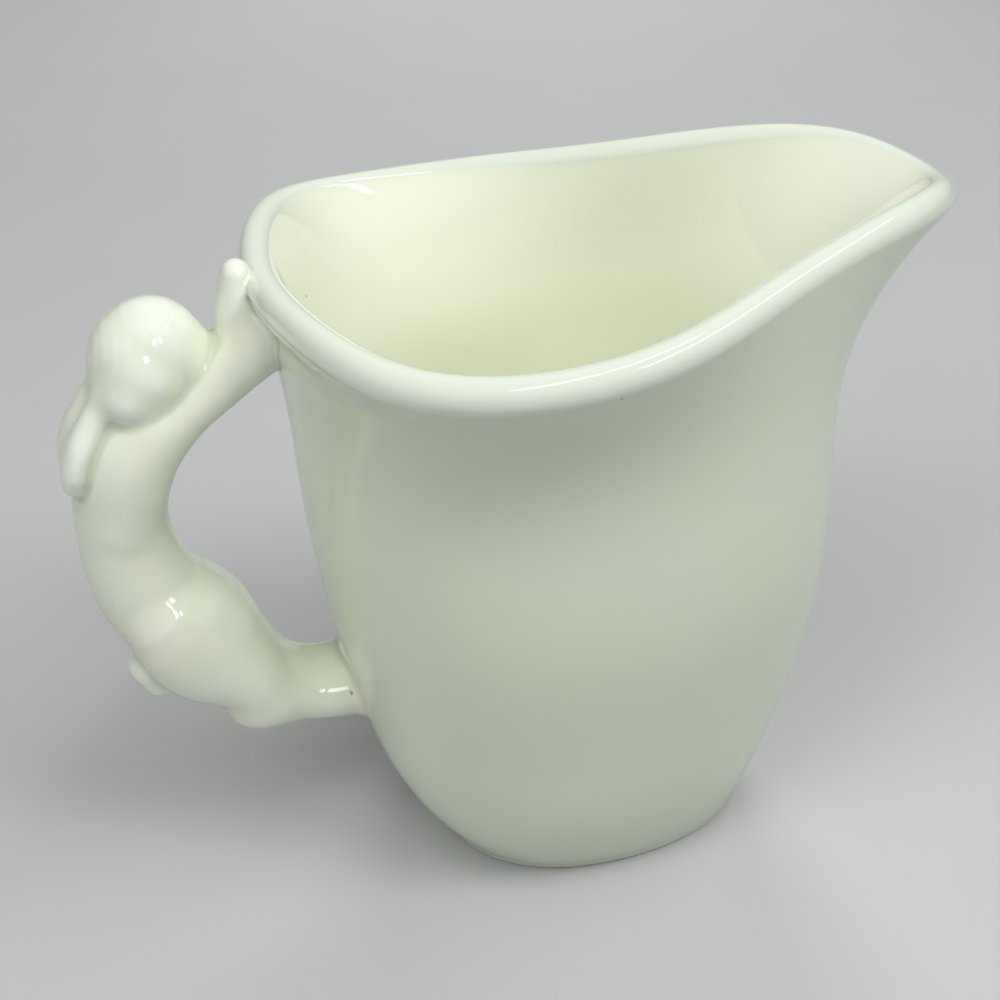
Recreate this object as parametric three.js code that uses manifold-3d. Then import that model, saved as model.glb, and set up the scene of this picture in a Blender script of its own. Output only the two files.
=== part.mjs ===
// Bunny creamer: a slip-cast ceramic jug with a rolled rim and a flared pouring lip, and a handle
// cast as a rabbit that stretches up to look over the rim. The handle is a casting of its own,
// stuck on with slip at its paws and at its hind feet.
// Millimetres, +Z up. The spout points to +X, the handle lies on -X and the foot stands on z = 0.
// The forms are built about the jug's own axis, and the whole group is then moved along X so that
// the origin lies on the table under the middle of the overall length.
import * as THREE from "three";
import { mergeVertices } from "three/addons/utils/BufferGeometryUtils.js";
import Module from "manifold-3d";

const wasm = await Module();
wasm.setup();

// Jug wall: height of the rim above the table at the sides, length and width of the body where it is
// fullest, and shares of these at levels that are shares of the height
const RIM_HEIGHT = 95.2;
const BODY_LENGTH = 80.4;
const BODY_WIDTH = 70.4;
const LEVEL_SHARES = [0, 0.1, 0.3, 0.55, 0.8, 1];
const LENGTH_SHARES = [0.679, 0.779, 0.92, 0.995, 1, 0.998];
const WIDTH_SHARES = [0.685, 0.818, 0.926, 1, 0.952, 0.946];
const CENTRE_SHARES = [0.058, 0.031, 0.025, 0.009, -0.009, -0.01];
const SQUARENESS = 0.025;
const FOOT_EGG = -0.04;

// Rim every 30 degrees, from the spout's tip round to the handle: its plan in shares of the body's
// length and width, and its rise in shares of the height
const RIM_FORWARD_SHARES = [0.7, 0.585, 0.284, 0.001, -0.331, -0.516, -0.568];
const RIM_SIDEWAYS_SHARES = [0, 0.253, 0.418, 0.553, 0.547, 0.331, 0];
const RIM_RISE_SHARES = [0.043, 0.068, 0.048, 0, -0.016, 0.005, 0.007];
const FLARE_START = 0.68;
const FLARE_POWER = 2.5;
const LIP_RADIUS = 2.6;

// Wall, floor and foot
const WALL = 4.0;
const LIP_BLEND = 0.18;
const FLOOR = 5.0;
const FLOOR_FILLET = 8.0;
const FOOT_RING = 4.0;
const FOOT_RECESS = 1.2;
const FOOT_EDGE = 0.8;

// Handle joints: where the paws and the hind feet meet the wall, and the slip between
const PAW_DROP = 6.2;
const HIND_FOOT_HEIGHT = 29.2;
const SLIP = 0.6;
const SLIP_OVERHANG = 0.7;
const JOINT_GAP = 0.3;

// Handle limbs. A row is [share of the way from the hind feet up to the paws, reach out from the
// wall there, rise, half thickness, half width]; apart is a paired limb's distance from the middle
const TORSO = {
  apart: 0,
  rows: [
    [1, 17.1, -8.5, 5.5, 6.5],
    [0.76, 23.0, 0, 6.6, 7.2],
    [0.64, 25.3, 0, 6.5, 6.8],
    [0.52, 26.2, 0, 6.8, 6.8],
    [0.4, 25.4, 0, 7.7, 7.4],
    [0, 25.4, 17.8, 8.3, 8.0],
  ],
};
const HEAD = {
  apart: 0,
  rows: [
    [1, 19.4, -4.8, 5.2, 5.6],
    [1, 17.2, -2.4, 7.5, 7.6],
    [1, 14.5, 0.6, 6.4, 6.7],
  ],
};
const EAR = {
  apart: 3.4,
  rows: [
    [1, 21.4, -3.2, 1.5, 2.2],
    [1, 23.8, -7.0, 2.2, 2.9],
    [1, 26.2, -10.8, 2.6, 3.2],
    [1, 27.4, -14.2, 2.4, 3.0],
    [1, 27.7, -16.0, 1.7, 2.2],
  ],
};
const FORELEG = {
  apart: 3.0,
  rows: [
    [1, 20.1, -15.0, 5.0, 4.6],
    [1, 17.0, -11.4, 4.4, 4.4],
    [1, 12.8, -8.0, 3.9, 4.0],
    [1, 7.4, -4.5, 3.5, 3.7],
    [1, 3.1, -1.2, 3.7, 3.8],
    [1, -0.9, 1.6, 4.0, 4.0],
  ],
};
const PAW = {
  apart: 1.3,
  rows: [
    [1, 3.2, 0, 3.2, 3.4],
    [1, 3.8, 4.4, 2.3, 3.1],
    [1, 3.8, 8.9, 1.9, 2.7],
  ],
};
const THIGH = {
  apart: 3.7,
  rows: [
    [0, 28.4, 22.3, 6.2, 5.2],
    [0, 25.1, 17.6, 7.9, 6.2],
    [0, 21.4, 12.3, 8.1, 6.4],
    [0, 17.1, 6.4, 6.3, 5.2],
    [0, 14.3, 2.2, 4.5, 4.0],
  ],
};
const HIND_FOOT = {
  apart: 3.4,
  rows: [
    [0, 15.4, 1.6, 4.3, 4.2],
    [0, 9.9, 0.8, 4.1, 4.0],
    [0, 4.9, 0, 4.2, 4.1],
    [0, -1.5, -0.3, 4.5, 4.3],
  ],
};
const TAIL = {
  apart: 0,
  rows: [
    [0, 28.5, 10.6, 3.5, 3.6],
    [0, 30.6, 7.4, 3.1, 3.2],
  ],
};

// Facet counts
const AROUND = 56;
const WALL_RINGS = 24;
const LIP_RINGS = 7;
const INNER_RINGS = 16;
const FILLET_RINGS = 4;
const LIMB_SIDES = 16;
const LIMB_STEPS = 3;
const DOME_RINGS = 3;

// Glazed ivory
const GLAZE = { roughness: 0.16, metalness: 0 };
const JUG_COLOUR = 0xe6e9d8;
const RABBIT_COLOUR = 0xeaeddf;
const SLIP_COLOUR = 0xe2e5d2;

const HALF_TURN = Math.PI;
const TURN = 2 * Math.PI;

// Natural cubic spline through values at rising knots
function naturalSpline(knots, values) {
  const last = knots.length - 1;
  const bend = new Array(last + 1).fill(0);
  const ratio = new Array(last + 1).fill(0);
  for (let i = 1; i < last; i += 1) {
    const before = knots[i] - knots[i - 1];
    const after = knots[i + 1] - knots[i];
    const slopeChange = (values[i + 1] - values[i]) / after - (values[i] - values[i - 1]) / before;
    const pivot = 2 * (before + after) - before * ratio[i - 1];
    ratio[i] = after / pivot;
    bend[i] = (6 * slopeChange - before * bend[i - 1]) / pivot;
  }
  for (let i = last - 1; i > 0; i -= 1) {
    bend[i] -= ratio[i] * bend[i + 1];
  }
  return (at) => {
    let i = 0;
    while (i < last - 1 && at > knots[i + 1]) {
      i += 1;
    }
    const step = knots[i + 1] - knots[i];
    const b = (at - knots[i]) / step;
    const a = 1 - b;
    const curve = ((a ** 3 - a) * bend[i] + (b ** 3 - b) * bend[i + 1]) * (step * step) / 6;
    return a * values[i] + b * values[i + 1] + curve;
  };
}

// Smooth closed curve through values at even angles over half a turn, mirrored about the XZ plane
function mirroredSeries(values, wave) {
  const last = values.length - 1;
  const weight = (index) => (index === 0 || index === last ? 1 / 2 : 1);
  const terms = values.map((_, order) => {
    const sum = values.reduce((total, value, j) => {
      return total + weight(j) * value * wave((HALF_TURN * order * j) / last);
    }, 0);
    return (2 * weight(order) * sum) / last;
  });
  return (angle) => terms.reduce((total, term, order) => total + term * wave(order * angle), 0);
}

const lengthShare = naturalSpline(LEVEL_SHARES, LENGTH_SHARES);
const widthShare = naturalSpline(LEVEL_SHARES, WIDTH_SHARES);
const centreShare = naturalSpline(LEVEL_SHARES, CENTRE_SHARES);
const rimForwardShare = mirroredSeries(RIM_FORWARD_SHARES, Math.cos);
const rimSidewaysShare = mirroredSeries(RIM_SIDEWAYS_SHARES, Math.sin);
const rimRiseShare = mirroredSeries(RIM_RISE_SHARES, Math.cos);

function rimHeightAt(angle) {
  return RIM_HEIGHT * (1 + rimRiseShare(angle));
}

// Point on the outer wall at an angle from the spout and a share of the rim's height
function wallPoint(angle, share) {
  const squared = 1 - SQUARENESS;
  const across = (Math.cos(angle) - SQUARENESS * Math.cos(3 * angle)) / squared;
  const beside = (Math.sin(angle) + SQUARENESS * Math.sin(3 * angle)) / squared;
  const egg = 1 + FOOT_EGG * (1 - share) * Math.cos(angle);
  const flare = Math.max(0, (share - FLARE_START) / (1 - FLARE_START)) ** FLARE_POWER;
  const forward = centreShare(share) + (lengthShare(share) / 2) * across;
  const sideways = (widthShare(share) / 2) * beside * egg;
  return new THREE.Vector3(
    BODY_LENGTH * THREE.MathUtils.lerp(forward, rimForwardShare(angle), flare),
    BODY_WIDTH * THREE.MathUtils.lerp(sideways, rimSidewaysShare(angle), flare),
    share * rimHeightAt(angle),
  );
}

// Directions at a wall point: up the wall and out of the wall
function wallFrame(angle, share) {
  const step = 1e-3;
  const along = wallPoint(angle + step, share).sub(wallPoint(angle - step, share)).normalize();
  const low = wallPoint(angle, Math.max(0, share - step));
  const up = wallPoint(angle, Math.min(1, share + step)).sub(low).normalize();
  const out = along.clone().cross(up).normalize();
  return { up: out.clone().cross(along), out };
}

function ring(pointAt) {
  return Array.from({ length: AROUND }, (_, j) => pointAt((TURN * j) / AROUND));
}

function wallRing(share, offset) {
  return ring((angle) => wallPoint(angle, share).addScaledVector(wallFrame(angle, share).out, offset));
}

// Ring on the rolled lip: turn 0 is the outside of the wall, half a turn is its inside
function lipRing(turn, offset) {
  return ring((angle) => {
    const { out, up } = wallFrame(angle, 1);
    const radius = LIP_RADIUS + offset;
    return wallPoint(angle, 1)
      .addScaledVector(out, radius * Math.cos(turn) - LIP_RADIUS)
      .addScaledVector(up, radius * Math.sin(turn));
  });
}

// Ring drawn in by an amount in plan from a ring that is already made
function drawnIn(points, amount, height) {
  return points.map((point, j) => {
    const next = points[(j + 1) % points.length];
    const before = points[(j + points.length - 1) % points.length];
    const inward = new THREE.Vector3(before.y - next.y, next.x - before.x, 0).normalize();
    const moved = point.clone().addScaledVector(inward, amount);
    moved.z = height(point.z);
    return moved;
  });
}

function middle(points) {
  const sum = points.reduce((total, point) => total.add(point), new THREE.Vector3());
  return sum.divideScalar(points.length);
}

// Closed skin over a row of rings with the same count of points, shut by a point at each end
function loft(rings, startPole, endPole) {
  const count = rings[0].length;
  const points = [startPole, ...rings.flat(), endPole];
  const at = (i, j) => 1 + i * count + (j % count);
  const faces = [];
  for (let j = 0; j < count; j += 1) {
    faces.push(0, at(0, j + 1), at(0, j));
    for (let i = 0; i + 1 < rings.length; i += 1) {
      faces.push(at(i, j), at(i, j + 1), at(i + 1, j + 1));
      faces.push(at(i, j), at(i + 1, j + 1), at(i + 1, j));
    }
    faces.push(at(rings.length - 1, j), at(rings.length - 1, j + 1), points.length - 1);
  }
  const geometry = new THREE.BufferGeometry().setFromPoints(points);
  geometry.setIndex(faces);
  return geometry;
}

function solidOf(geometry) {
  const clean = mergeVertices(geometry, 1e-5);
  return new wasm.Manifold(
    new wasm.Mesh({
      numProp: 3,
      vertProperties: new Float32Array(clean.attributes.position.array),
      triVerts: new Uint32Array(clean.index.array),
    }),
  );
}

function geometryOf(solid) {
  const mesh = solid.getMesh();
  const geometry = new THREE.BufferGeometry();
  geometry.setAttribute("position", new THREE.BufferAttribute(mesh.vertProperties, 3));
  geometry.setIndex(new THREE.BufferAttribute(mesh.triVerts, 1));
  geometry.computeVertexNormals();
  return geometry;
}

function evenly(count, from, to) {
  return Array.from({ length: count }, (_, i) => from + ((to - from) * i) / (count - 1));
}

// Jug: foot ring and recess, outer wall, rolled lip, inner wall and a floor with a round corner
function jugBody() {
  const footShare = FOOT_EDGE / RIM_HEIGHT;
  const wallRings = evenly(WALL_RINGS, footShare, 1).map((share) => wallRing(share, 0));
  const edge = wallRings[0];
  const sole = drawnIn(edge, FOOT_EDGE, () => 0);
  const soleInside = drawnIn(edge, FOOT_EDGE + FOOT_RING, () => 0);
  const recess = drawnIn(edge, FOOT_EDGE + FOOT_RING + FOOT_RECESS, () => FOOT_RECESS);

  const lipTurns = evenly(LIP_RINGS + 2, 0, HALF_TURN).slice(1, -1);
  const lipRings = lipTurns.map((turn) => lipRing(turn, 0));

  const floorShare = (FLOOR + FLOOR_FILLET) / RIM_HEIGHT;
  const thickness = (share) => {
    const nearRim = THREE.MathUtils.smoothstep(share, 1 - LIP_BLEND, 1);
    return THREE.MathUtils.lerp(WALL, 2 * LIP_RADIUS, nearRim);
  };
  const innerRings = evenly(INNER_RINGS, 1, floorShare).map((share) => wallRing(share, -thickness(share)));

  const corner = innerRings[INNER_RINGS - 1];
  const filletRings = evenly(FILLET_RINGS + 1, 0, HALF_TURN / 2).slice(1).map((turn) => {
    const height = (z) => THREE.MathUtils.lerp(z, FLOOR, Math.sin(turn));
    return drawnIn(corner, FLOOR_FILLET * (1 - Math.cos(turn)), height);
  });

  const rings = [recess, soleInside, sole, ...wallRings, ...lipRings, ...innerRings, ...filletRings];
  return loft(rings, middle(recess), middle(filletRings[FILLET_RINGS - 1]));
}

// Solid of the jug's outside, grown by an offset, to shape what meets the wall
function jugOutside(offset) {
  const wallRings = evenly(WALL_RINGS, FOOT_EDGE / RIM_HEIGHT, 1).map((share) => wallRing(share, offset));
  const lipTurns = evenly(LIP_RINGS + 2, 0, HALF_TURN).slice(1, -1);
  const lipRings = lipTurns.map((turn) => lipRing(turn, offset));
  const rings = [...wallRings, ...lipRings];
  return solidOf(loft(rings, middle(rings[0]), middle(rings[rings.length - 1])));
}

// Where the handle meets the wall, and the place of a limb's row between the two joints
const pawHeight = RIM_HEIGHT - PAW_DROP;
const pawJoint = wallPoint(HALF_TURN, pawHeight / rimHeightAt(HALF_TURN));
const footJoint = wallPoint(HALF_TURN, HIND_FOOT_HEIGHT / rimHeightAt(HALF_TURN));

function limbPlace([share, reach, rise], sideways) {
  const place = footJoint.clone().lerp(pawJoint, share);
  place.x -= reach;
  place.y = sideways;
  place.z += rise;
  return place;
}

// Limb: oval sections swept along a smooth spine, with a dome at each end
function limbSolid(limb, side, grown) {
  const spine = new THREE.CatmullRomCurve3(limb.rows.map((row) => limbPlace(row, side * limb.apart)));
  const girth = new THREE.CatmullRomCurve3(
    limb.rows.map((row) => new THREE.Vector3(row[3] + grown, row[4] + grown, 0)),
    false,
    "catmullrom",
  );
  const sideways = new THREE.Vector3(0, 1, 0);
  const section = (at, shift, size) => {
    const forward = spine.getTangent(at);
    const deep = sideways.clone().cross(forward).normalize();
    const wide = forward.clone().cross(deep);
    const { x: thick, y: broad } = girth.getPoint(at);
    const centre = spine.getPoint(at).addScaledVector(forward, shift * thick);
    return Array.from({ length: LIMB_SIDES }, (_, j) => {
      const turn = (TURN * j) / LIMB_SIDES;
      return centre.clone()
        .addScaledVector(deep, size * thick * Math.cos(turn))
        .addScaledVector(wide, size * broad * Math.sin(turn));
    });
  };
  const domeTurns = evenly(DOME_RINGS + 2, 0, HALF_TURN / 2).slice(1, -1);
  const steps = LIMB_STEPS * (limb.rows.length - 1) + 1;
  const rings = [
    ...domeTurns.map((turn) => section(0, -Math.cos(turn), Math.sin(turn))),
    ...evenly(steps, 0, 1).map((at) => section(at, 0, 1)),
    ...domeTurns.toReversed().map((turn) => section(1, Math.cos(turn), Math.sin(turn))),
  ];
  const poleAt = (at, shift) => middle(section(at, shift, 0));
  return solidOf(loft(rings, poleAt(0, -1), poleAt(1, 1)));
}

function limbSolids(limb, grown) {
  const sides = limb.apart === 0 ? [0] : [-1, 1];
  return sides.map((side) => limbSolid(limb, side, grown));
}

function joined(limbs, grown) {
  return limbs.flatMap((limb) => limbSolids(limb, grown)).reduce((whole, solid) => whole.add(solid));
}

// Rabbit: all limbs in one casting, cut to the wall with room for the slip
function rabbitHandle() {
  const limbs = [TORSO, HEAD, EAR, FORELEG, PAW, THIGH, HIND_FOOT, TAIL];
  return joined(limbs, 0).subtract(jugOutside(2 * JOINT_GAP + SLIP));
}

// Slip: a thin pad on the wall under the ends of the limbs, squeezed out a little around them
function slipPad(limbs) {
  const layer = jugOutside(JOINT_GAP + SLIP).subtract(jugOutside(JOINT_GAP));
  return joined(limbs, SLIP_OVERHANG).intersect(layer);
}

function piece(name, geometry, colour) {
  const mesh = new THREE.Mesh(geometry, new THREE.MeshStandardMaterial({ color: colour, ...GLAZE }));
  mesh.name = name;
  return mesh;
}

const creamer = new THREE.Group();
creamer.add(
  piece("jug_body", jugBody(), JUG_COLOUR),
  piece("bunny_handle", geometryOf(rabbitHandle()), RABBIT_COLOUR),
  piece("paw_slip_joint", geometryOf(slipPad([FORELEG, PAW])), SLIP_COLOUR),
  piece("hind_foot_slip_joint", geometryOf(slipPad([HIND_FOOT])), SLIP_COLOUR),
);
const extent = new THREE.Box3().setFromObject(creamer);
creamer.position.x = -(extent.min.x + extent.max.x) / 2;

export default creamer;
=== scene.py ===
"""Glazed bunny creamer: a slip-cast jug, the rabbit that is its handle, and the slip that joins them.

Sizes are millimetres about the jug's own axis, as in the part's source: the spout points to +X, the
rabbit stands on -X and the foot rests on z = 0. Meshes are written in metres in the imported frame,
whose origin lies under the middle of the overall length.
"""

import logging
import math
from dataclasses import dataclass, field
from enum import Enum
from typing import Callable, NamedTuple, Sequence

import bpy
import numpy as np
import openvdb
from mathutils import Matrix, Vector


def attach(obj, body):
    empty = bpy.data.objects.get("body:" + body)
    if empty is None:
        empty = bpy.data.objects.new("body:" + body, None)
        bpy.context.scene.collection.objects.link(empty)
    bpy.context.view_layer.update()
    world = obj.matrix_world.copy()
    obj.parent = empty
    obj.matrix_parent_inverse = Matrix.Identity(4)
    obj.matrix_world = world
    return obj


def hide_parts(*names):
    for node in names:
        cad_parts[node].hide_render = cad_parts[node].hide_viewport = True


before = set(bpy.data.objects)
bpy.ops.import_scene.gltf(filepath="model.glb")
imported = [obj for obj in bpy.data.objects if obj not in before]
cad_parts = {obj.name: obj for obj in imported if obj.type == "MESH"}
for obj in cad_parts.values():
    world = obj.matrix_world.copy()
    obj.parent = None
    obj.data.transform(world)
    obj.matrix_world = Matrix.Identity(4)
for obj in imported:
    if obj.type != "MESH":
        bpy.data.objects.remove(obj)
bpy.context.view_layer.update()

LOG = logging.getLogger("bunny_creamer")
MILLIMETRE = 0.001
AXIS_TO_MIDDLE = 7.95
TURN = 2 * math.pi
BODY = "root"
POOL_AND_SHADE_ATTRIBUTE = "glaze_pool_and_shade"
WELL_ATTRIBUTE = "jug_well"

Colour = tuple[float, float, float]
Place = tuple[float, float, float]
Socket = bpy.types.NodeSocket
Field = Callable[[np.ndarray], np.ndarray]


class Wave(Enum):
    """Which half of a mirrored series a rim curve is made of."""

    EVEN = "even"
    ODD = "odd"

    def at(self, angle: np.ndarray) -> np.ndarray:
        """Value of the wave at an angle."""
        return np.cos(angle) if self is Wave.EVEN else np.sin(angle)


class Skin(NamedTuple):
    """A mesh before it becomes an object.

    Attributes:
        points: Corners in millimetres about the jug's axis, one row each.
        faces: Corner numbers of each face, turned to face outwards.
    """

    points: np.ndarray
    faces: list


def smooth_step(value: np.ndarray, low: float, high: float) -> np.ndarray:
    """Soft ramp from 0 at low to 1 at high.

    Args:
        value: Where to read the ramp.
        low: Value at which the ramp leaves 0.
        high: Value at which it reaches 1.

    Returns:
        The ramp at each value.
    """
    share = np.clip((value - low) / (high - low), 0.0, 1.0)
    return share * share * (3 - 2 * share)


def natural_spline(knots: Sequence[float], values: Sequence[float]) -> Field:
    """Natural cubic spline through values at rising knots.

    Args:
        knots: Rising places of the values.
        values: Value at each knot.

    Returns:
        A function that reads the spline at an array of places.
    """
    place = np.asarray(knots, float)
    value = np.asarray(values, float)
    step = np.diff(place)
    slope = np.diff(value) / step
    count = len(place)
    system = np.eye(count)
    change = np.zeros(count)
    for i in range(1, count - 1):
        system[i, i - 1 : i + 2] = step[i - 1], 2 * (step[i - 1] + step[i]), step[i]
        change[i] = 6 * (slope[i] - slope[i - 1])
    bend = np.linalg.solve(system, change)

    def read(at: np.ndarray) -> np.ndarray:
        """Spline at an array of places."""
        i = np.clip(np.searchsorted(place, at, side="right") - 1, 0, count - 2)
        after = (at - place[i]) / step[i]
        before = 1 - after
        curve = (before**3 - before) * bend[i] + (after**3 - after) * bend[i + 1]
        return before * value[i] + after * value[i + 1] + curve * step[i] ** 2 / 6

    return read


def mirrored_series(values: Sequence[float], wave: Wave) -> Field:
    """Smooth closed curve through values at even angles over half a turn, mirrored about the XZ plane.

    Args:
        values: Value at each even angle, from 0 to half a turn.
        wave: Whether the mirrored half keeps its sign or changes it.

    Returns:
        A function that reads the curve at an array of angles.
    """
    value = np.asarray(values, float)
    last = len(value) - 1
    order = np.arange(last + 1)
    weight = np.where((order == 0) | (order == last), 0.5, 1.0)
    station = math.pi * order / last
    terms = 2 * weight / last * (wave.at(np.outer(order, station)) @ (weight * value))

    def read(angle: np.ndarray) -> np.ndarray:
        """Curve at an array of angles."""
        return np.tensordot(wave.at(np.multiply.outer(angle, order)), terms, axes=1)

    return read


def catmull_rom(stations: np.ndarray, spacing: np.ndarray, steps: int) -> np.ndarray:
    """Smooth row through stations, as the part's source runs its spines.

    Args:
        stations: Rows to run through.
        spacing: Knot distance of each span.
        steps: Points in each span.

    Returns:
        The rows along the curve, both ends included.
    """
    row = np.vstack([2 * stations[0] - stations[1], stations, 2 * stations[-1] - stations[-2]])
    gap = np.concatenate([spacing[:1], spacing, spacing[-1:]])
    share = np.linspace(0, 1, steps, endpoint=False)[:, None]
    spans = []
    for i in range(1, len(row) - 2):
        before, here, after = gap[i - 1], gap[i], gap[i + 1]
        first, start, end, last = row[i - 1 : i + 3]
        leave = (start - first) / before - (end - first) / (before + here) + (end - start) / here
        arrive = (end - start) / here - (last - start) / (here + after) + (last - end) / after
        cube, square = share**3, share**2
        spans.append(
            (2 * cube - 3 * square + 1) * start
            + (cube - 2 * square + share) * leave * here
            + (3 * square - 2 * cube) * end
            + (cube - square) * arrive * here
        )
    return np.vstack([*spans, stations[-1:]])


def placed(points: np.ndarray) -> np.ndarray:
    """Points in millimetres about the jug's axis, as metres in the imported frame."""
    return (points + (AXIS_TO_MIDDLE, 0.0, 0.0)) * MILLIMETRE


def store_glaze_pool_and_shade(mesh: bpy.types.Mesh, reach: float, rounds: int) -> None:
    """Marks bends of the skin: 0 on sharp edges, one half on flats and 1 in creases, where glaze gathers
    and where painted shade goes.

    Args:
        mesh: Finished mesh in metres.
        reach: Radius of bend in metres that counts as a full edge or crease.
        rounds: Times that the mark is evened out with its neighbours.
    """
    count = len(mesh.vertices)
    points = np.empty(count * 3)
    normals = np.empty(count * 3)
    edges = np.empty(len(mesh.edges) * 2, np.int32)
    mesh.vertices.foreach_get("co", points)
    mesh.vertices.foreach_get("normal", normals)
    mesh.edges.foreach_get("vertices", edges)
    points, normals = points.reshape(-1, 3), normals.reshape(-1, 3)
    start, end = edges.reshape(-1, 2).T
    span = points[end] - points[start]
    length = np.maximum((span**2).sum(1), 1e-14)
    near = 2 * (span * normals[start]).sum(1) / length
    far = -2 * (span * normals[end]).sum(1) / length
    members = np.maximum(np.bincount(edges, minlength=count), 1)

    def gather(at_start: np.ndarray, at_end: np.ndarray) -> np.ndarray:
        """Mean over the edges that leave each corner."""
        total = np.bincount(start, at_start, count) + np.bincount(end, at_end, count)
        return total / members

    bend = gather(near, far)
    for _ in range(rounds):
        bend = (bend + gather(bend[end], bend[start])) / 2
    mark = np.clip(0.5 + 0.5 * reach * bend, 0.0, 1.0)
    attribute = mesh.attributes.new(POOL_AND_SHADE_ATTRIBUTE, "FLOAT", "POINT")
    attribute.data.foreach_set("value", mark.astype(np.float32))


def glazed_object(name: str, skin: Skin, material: bpy.types.Material) -> bpy.types.Object:
    """Makes a smooth-shaded object at the origin from a skin.

    Args:
        name: Name of the object and its mesh.
        skin: Corners and faces.
        material: Finish of the whole surface.

    Returns:
        The new object, linked to the scene.
    """
    mesh = bpy.data.meshes.new(name)
    mesh.from_pydata(placed(skin.points).tolist(), [], skin.faces)
    mesh.validate()
    mesh.shade_smooth()
    mesh.materials.append(material)
    piece = bpy.data.objects.new(name, mesh)
    bpy.context.scene.collection.objects.link(piece)
    return piece


class NodeSketch:
    """Lays nodes into a tree, feeds their sockets and links them."""

    def __init__(self, tree: bpy.types.NodeTree) -> None:
        """Starts on a tree."""
        self.tree = tree

    def add(self, kind: str, feeds: dict | None = None, **settings: object) -> bpy.types.Node:
        """Adds a node.

        Args:
            kind: Node type.
            feeds: Value or source socket for each input, by its name or number.
            settings: The node's own options.

        Returns:
            The new node.
        """
        node = self.tree.nodes.new(kind)
        for name, value in settings.items():
            setattr(node, name, value)
        for key, value in (feeds or {}).items():
            if isinstance(value, Socket):
                self.tree.links.new(value, node.inputs[key])
            else:
                node.inputs[key].default_value = value
        return node

    def math(self, operation: str, first: object, second: object = 0.0) -> Socket:
        """Result of one sum on two numbers or sockets."""
        return self.add("ShaderNodeMath", {0: first, 1: second}, operation=operation).outputs[0]

    def vector(self, operation: str, first: object, second: object) -> Socket:
        """Result of one sum on two vectors or sockets."""
        feeds = {0: first, 1: second}
        return self.add("ShaderNodeVectorMath", feeds, operation=operation).outputs[0]

    def scaled(self, vector: object, scale: object) -> Socket:
        """A vector times a number."""
        feeds = {0: vector, "Scale": scale}
        return self.add("ShaderNodeVectorMath", feeds, operation="SCALE").outputs[0]

    def ramp(self, value: object, low: float, high: float) -> Socket:
        """Soft ramp from 0 at low to 1 at high."""
        feeds = {"Value": value, "From Min": low, "From Max": high}
        return self.add("ShaderNodeMapRange", feeds, interpolation_type="SMOOTHSTEP").outputs[0]

    def blend(self, share: object, first: object, second: object) -> Socket:
        """Colour between two colours or sockets."""
        feeds = {0: share, 6: opaque(first), 7: opaque(second)}
        return self.add("ShaderNodeMix", feeds, data_type="RGBA").outputs[2]


def opaque(colour: object) -> object:
    """A colour with its alpha, or a socket as it is."""
    return (*colour, 1.0) if isinstance(colour, tuple) else colour


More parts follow.
